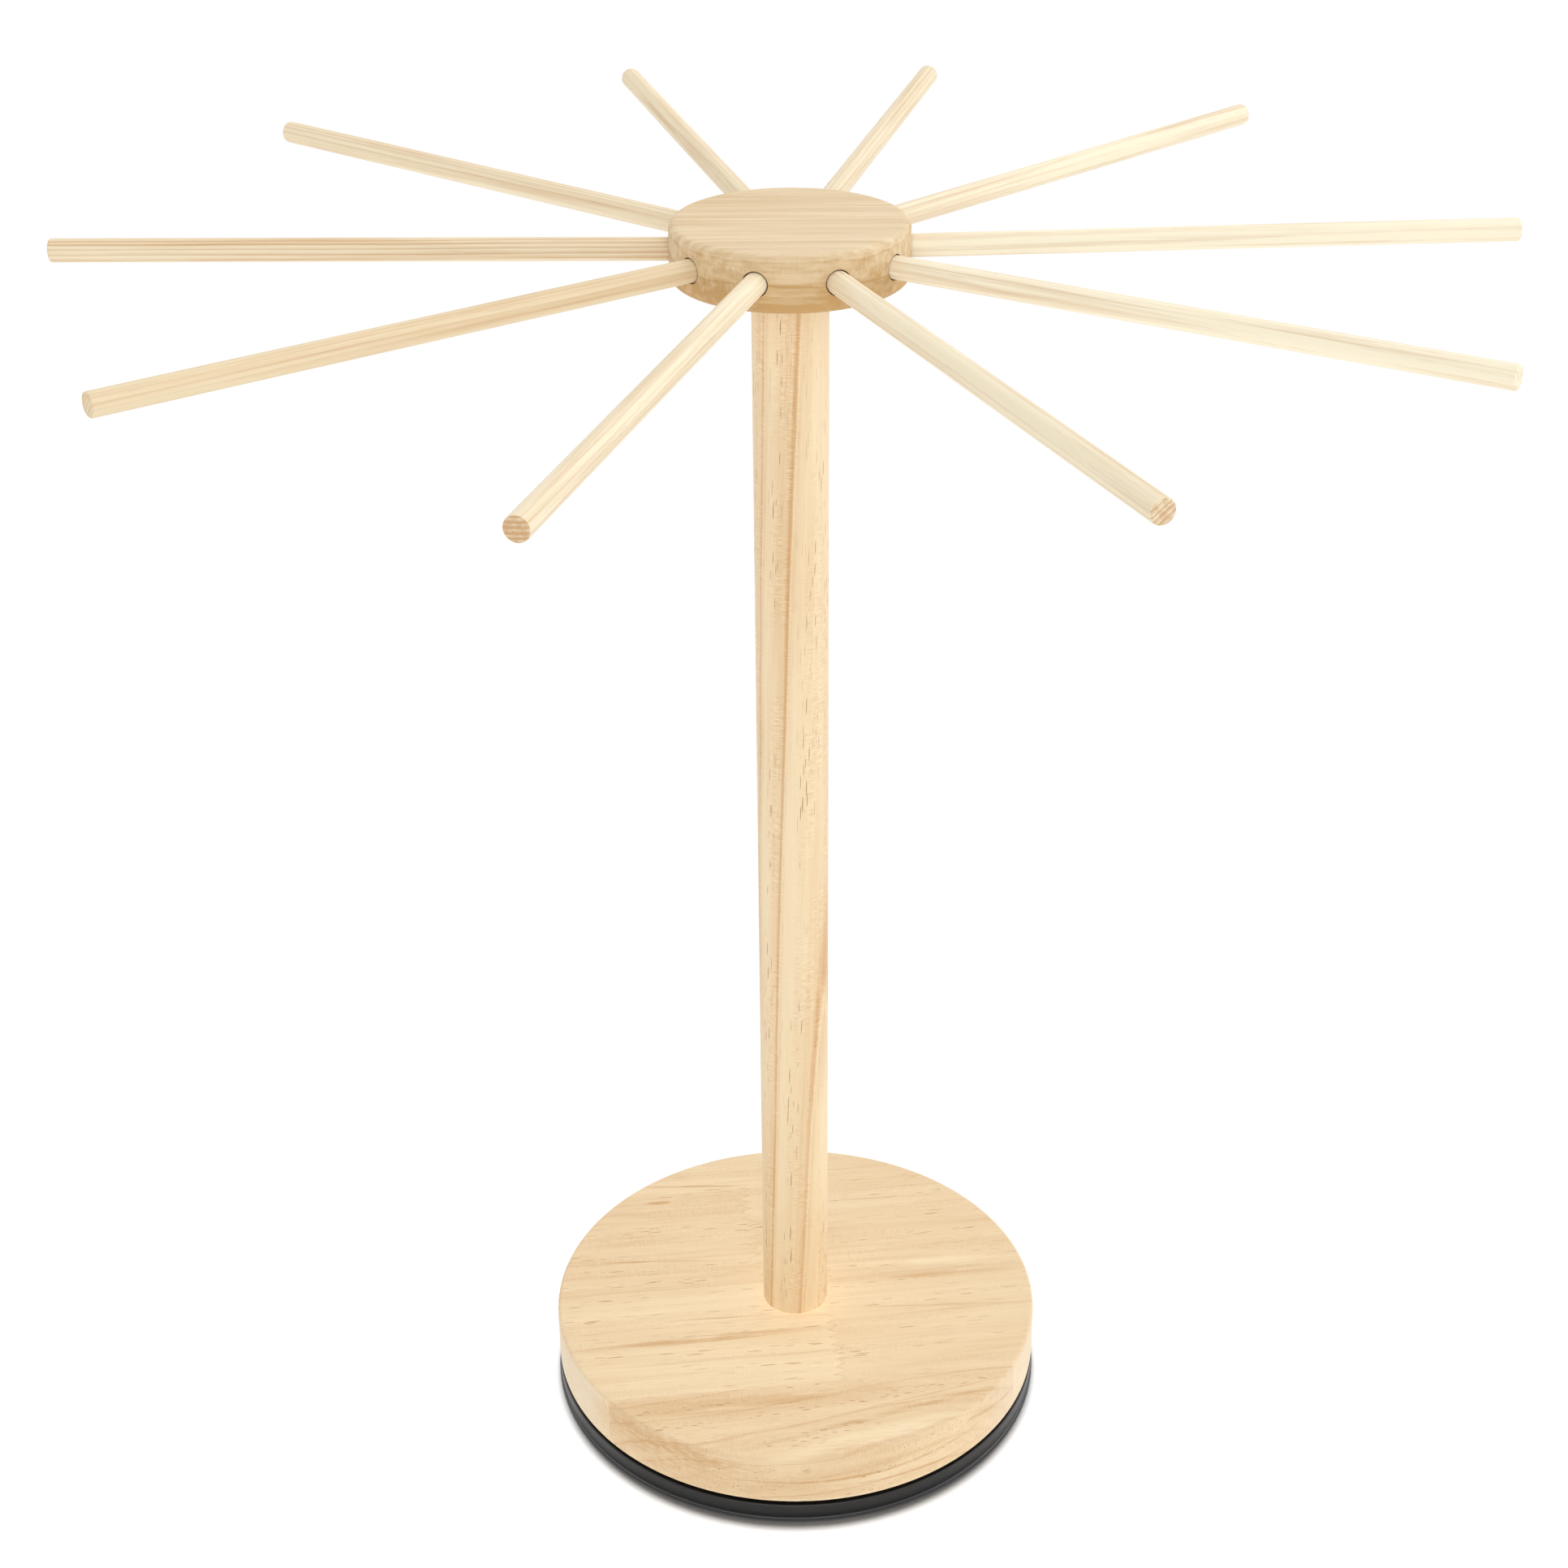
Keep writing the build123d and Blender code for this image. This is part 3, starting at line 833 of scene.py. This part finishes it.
def hub_nets():
    """Nets of the hub. The turned parts and the ten sectors of the rim share the same angles.
    A sector lies on the rim's cylinder, where a point u beside and v above its rod's line is
    sqrt(radius squared minus u squared) out, and is a net between its socket and its border. The
    bore carries the socket's edge in, at each step's radius and depth, and closes at its end."""
    steps = 12
    order = np.argsort(bearings)
    middle = bearings[order]
    borders = (middle + np.roll(middle, -1)) / 2
    borders[-1] += math.pi
    borders = np.append(borders[-1] - 2 * math.pi, borders)
    share = np.linspace(0, 1, steps + 1)
    angles = np.concatenate([a + (b - a) * share[:-1] for a, b in zip(borders[:-1], borders[1:])])
    angles = np.append(angles, borders[-1])
    top = rounded([
        (0, hub_high.z, 0),
        (hub_radius * 0.6, hub_high.z, 0),
        (hub_radius, hub_high.z, hub_rounding),
        (hub_radius, hub_low.z, 0),
    ], closed=False)[:-2]
    bottom = rounded([
        (hub_radius, hub_high.z, 0),
        (hub_radius, hub_low.z, hub_rounding),
        (mortise_radius, hub_low.z, 0),
        (mortise_radius, mortise_top, 0),
        (0, mortise_top, 0),
    ], closed=False)[2:]
    nets = [turned(top, angles), turned(bottom, angles)]
    reach = hub_high.z - hub_rounding - rod_level
    heights = reach * (2 * share - 1)
    for a, b, bearing in zip(borders[:-1], borders[1:], middle):
        beside = hub_radius * np.sin(a + (b - a) * share - bearing)
        border = np.concatenate([
            np.stack([beside, np.full(steps + 1, -reach)], axis=1),
            np.stack([np.full(steps, beside[-1]), heights[1:]], axis=1),
            np.stack([beside[-2::-1], np.full(steps, reach)], axis=1),
            np.stack([np.full(steps, beside[0]), heights[-2::-1]], axis=1),
        ])
        flat = holed(border, np.zeros(2), mouth_radius, socket_shares)
        out = np.sqrt(hub_radius ** 2 - flat[..., 0] ** 2)
        round_edge = flat[0] / mouth_radius
        bore = np.array([
            [mouth_radius, hub_radius - mouth_depth],
            [socket_radius, hub_radius - mouth_depth],
            [socket_radius, hub_radius - socket_depth],
            [0, hub_radius - socket_depth],
        ])
        bore_flat = np.concatenate([flat[:1], bore[:, :1, None] * round_edge])
        bore_out = np.concatenate([out[:1], bore[:, 1:] + 0 * out[:1]])
        outward = np.array([math.cos(bearing), math.sin(bearing), 0])
        sideways = np.array([-math.sin(bearing), math.cos(bearing), 0])
        for across, along in ((flat, out), (bore_flat, bore_out)):
            level = np.array([0, 0, 1]) * (rod_level + across[..., 1:])
            nets.append(along[..., None] * outward + across[..., :1] * sideways + level)
    return nets


hub = shell("hub_disc", hub_nets())
hub.data.materials.append(hub_pine())
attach(hub, "rack")
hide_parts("hub")

# Rods: ten thin pine dowels, cut to length with their ends eased on a sander and pushed loosely
# into the hub's sockets. Each was cut from another place in the trunk, so their stripes differ.
rod_radius = 0.0035
inner_easing = 0.0005
tip_easing = 0.0007
rod_turn = np.linspace(0, 2 * math.pi, 49)
rod_dull = (0.80, 0.65, 0.42, 1)
rod_white = (0.98, 0.89, 0.68, 1)
rod_late = (0.62, 0.38, 0.18, 1)
rod_mark = (0.33, 0.18, 0.09, 1)

# The rods in order: how white each one's wood is, how strongly its years and its cut end show,
# and the way to its pith. How far off that is, in millimetres, is drawn at random.
whiteness = [0.1, 0.7, 0.7, 0.97, 1.0, 0.8, 0.45, 0.4, 0.5, 0.4]
stripes = [0.4, 0.45, 0.45, 0.25, 0.15, 0.3, 0.5, 0.4, 0.45, 1.0]
end_grain = [0.25, 1.3, 0.7, 0.1, 0.3, 0.8, 0.8, 0.8, 0.8, 0.6]
pith_turn = np.radians([137, 275, 130, 190, 328, 105, 243, 20, 157, 295])
pith_distance = (14, 60)
rods_apart = 400
trunk_draw = np.random.default_rng(7)


def mark_points(piece, name, kind, values):
    """Keeps one value or vector for each of a mesh's points as a named attribute."""
    attribute = piece.data.attributes.new(name, kind, "POINT")
    field = "vector" if kind == "FLOAT_VECTOR" else "value"
    attribute.data.foreach_set(field, np.asarray(values, np.float32).ravel())


def kept(tree, name):
    """The value that mark_points kept under a name."""
    return feed(tree, "Attribute", {}, attribute_name=name).outputs["Fac"]


def rod_pine():
    """Rod material: pine in each rod's own trunk coordinates, kept in the grain attribute."""
    made, tree, surface = material("rod_pine")
    trunk = feed(tree, "Attribute", {}, attribute_name="grain").outputs["Vector"]
    figure = pine(tree, surface, trunk, Ring_Width=1.35, Wander=2.0, Streaks=0.45, Marks=0.15,
                  Warmth=0.0, Late=rod_late, Mark=rod_mark)
    pale = mixed(tree, kept(tree, "whiteness"), rod_dull, rod_white)
    tree.links.new(pale, figure.inputs["Pale"])
    tree.links.new(kept(tree, "stripes"), figure.inputs["Rings"])
    tree.links.new(kept(tree, "cut_end"), figure.inputs["Cut End"])
    return made


rod_wood = rod_pine()
for number, outward in enumerate(pull_axes, start=1):
    node = f"rod_{number:02d}"
    node_points = frame["nodes"][node].data.vertices
    corners = np.zeros(3 * len(node_points))
    node_points.foreach_get("co", corners)
    along = corners.reshape(-1, 3) @ outward
    outline = rounded([
        (0, along.min(), 0),
        (rod_radius, along.min(), inner_easing),
        (rod_radius, along.max(), tip_easing),
        (0, along.max(), 0),
    ], closed=False)
    sideways = np.cross([0, 0, 1], outward)
    upright = turned(outline, rod_turn)
    lying = (upright[..., :1] * sideways + upright[..., 1:2] * np.array([0, 0, 1])
             + upright[..., 2:] * outward + np.array([0, 0, rod_level]))
    rod = shell(f"rod_dowel_{number:02d}", [lying])
    place = np.zeros(3 * len(rod.data.vertices))
    rod.data.vertices.foreach_get("co", place)
    place = place.reshape(-1, 3) - np.array([0, 0, rod_level])
    turn = pith_turn[number - 1]
    pith = trunk_draw.uniform(*pith_distance) * np.array([math.cos(turn), math.sin(turn)])
    grain = 1000 * np.stack([place @ sideways, place[:, 2], place @ outward], axis=1)
    grain += np.append(pith, rods_apart * number)
    from_middle = np.abs(place @ outward - (along.min() + along.max()) / 2)
    cut = from_middle > (along.max() - along.min()) / 2 - tip_easing / 2
    mark_points(rod, "grain", "FLOAT_VECTOR", grain)
    mark_points(rod, "cut_end", "FLOAT", cut * end_grain[number - 1])
    mark_points(rod, "whiteness", "FLOAT", np.full(len(place), whiteness[number - 1]))
    mark_points(rod, "stripes", "FLOAT", np.full(len(place), stripes[number - 1]))
    rod.data.materials.append(rod_wood)
    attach(rod, node)
    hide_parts(node)

# Stage: a plain white floor, a sky that is weak on surfaces but white to the camera and in
# reflections, five lamps, and the camera at the photograph's place.
floor_size = 12.0
floor_colour = (0.99, 0.99, 0.99, 1)
sky_strength = 0.15
camera_place = (0.00071, -0.75284, 0.65286)
camera_lens = 59.63
camera_sensor = 36
camera_pitch = math.radians(28.61)
camera_yaw = math.radians(0.274)
camera_roll = math.radians(0.406)

half_floor = floor_size / 2
floor_corners = [(-half_floor, -half_floor, 0), (half_floor, -half_floor, 0),
                 (half_floor, half_floor, 0), (-half_floor, half_floor, 0)]
floor_mesh = bpy.data.meshes.new("floor")
floor_mesh.from_pydata(floor_corners, [], [(0, 1, 2, 3)])
floor = bpy.data.objects.new("floor", floor_mesh)
bpy.context.scene.collection.objects.link(floor)
floor_mesh.materials.append(material("floor_white", Base_Color=floor_colour, Roughness=0.9,
                                     Specular_IOR_Level=0.1)[0])

world = bpy.data.worlds.new("white_sky")
world.use_nodes = True
sky_tree = world.node_tree
sky = sky_tree.nodes["Background"]
sky.inputs["Color"].default_value = (1, 1, 1, 1)
rays = feed(sky_tree, "LightPath", {}).outputs
seen = maths(sky_tree, "MAXIMUM", rays["Is Camera Ray"], rays["Is Glossy Ray"])
sky_tree.links.new(ramp(sky_tree, seen, 0.0, 1.0, sky_strength, 1.0), sky.inputs["Strength"])
bpy.context.scene.world = world

# The lamps, each by its bearing from the back, its height, its share of a white surface's
# brightness and its spread. The rack has a soft one overhead, a little behind, and weaker fills
# from the front and both sides, and its post shades nothing else. The floor has its own, narrow
# and nearly upright, which only the foot ring, dish and base shade, because the photograph's
# shadow is dark and just a few millimetres wide.
rack_lamps = {
    "overhead": (30, 70, 0.61, 90),
    "front_fill": (180, 10, 0.48, 60),
    "right_fill": (90, 14, 0.36, 60),
    "left_fill": (-90, 14, 0.22, 60),
}
floor_lamp = (0, 82.0, 0.88, 8)


def lamp(name, bearing, height, share, spread):
    """A distant lamp at a bearing and a height in degrees. At strength pi it lights a white
    surface that faces it fully."""
    data = bpy.data.lights.new(name, "SUN")
    data.energy = share * math.pi
    data.angle = math.radians(spread)
    made = bpy.data.objects.new(name, data)
    turn, rise = math.radians(bearing), math.radians(height)
    level = math.cos(rise)
    toward = Vector((level * math.sin(turn), level * math.cos(turn), math.sin(rise)))
    made.rotation_mode = "QUATERNION"
    made.rotation_quaternion = toward.to_track_quat("Z", "Y")
    bpy.context.scene.collection.objects.link(made)
    return made


def linked(name, pieces, state):
    """A collection for light linking that stands for its pieces, or for all but them."""
    made = bpy.data.collections.new(name)
    for piece in pieces:
        made.objects.link(piece)
    for piece in made.collection_objects:
        piece.light_linking.link_state = state
    return made


all_but_floor = linked("all_but_floor", [floor], "EXCLUDE")
all_but_post = linked("all_but_post", [post], "EXCLUDE")
for name, settings in rack_lamps.items():
    linking = lamp(name, *settings).light_linking
    linking.receiver_collection = all_but_floor
    linking.blocker_collection = all_but_post
above_floor = lamp("floor_lamp", *floor_lamp)
above_floor.light_linking.receiver_collection = linked("floor_only", [floor], "INCLUDE")
above_floor.light_linking.blocker_collection = linked("foot_of_rack", [foot, dish, base], "INCLUDE")

camera_data = bpy.data.cameras.new("camera")
camera_data.lens = camera_lens
camera_data.sensor_width = camera_sensor
camera = bpy.data.objects.new("camera", camera_data)
bpy.context.scene.collection.objects.link(camera)
camera.matrix_world = (
    Matrix.Translation(camera_place)
    @ Matrix.Rotation(camera_yaw, 4, "Z")
    @ Matrix.Rotation(math.radians(90) - camera_pitch, 4, "X")
    @ Matrix.Rotation(-camera_roll, 4, "Z")
)
bpy.context.scene.camera = camera
bpy.context.scene.view_settings.view_transform = "Standard"
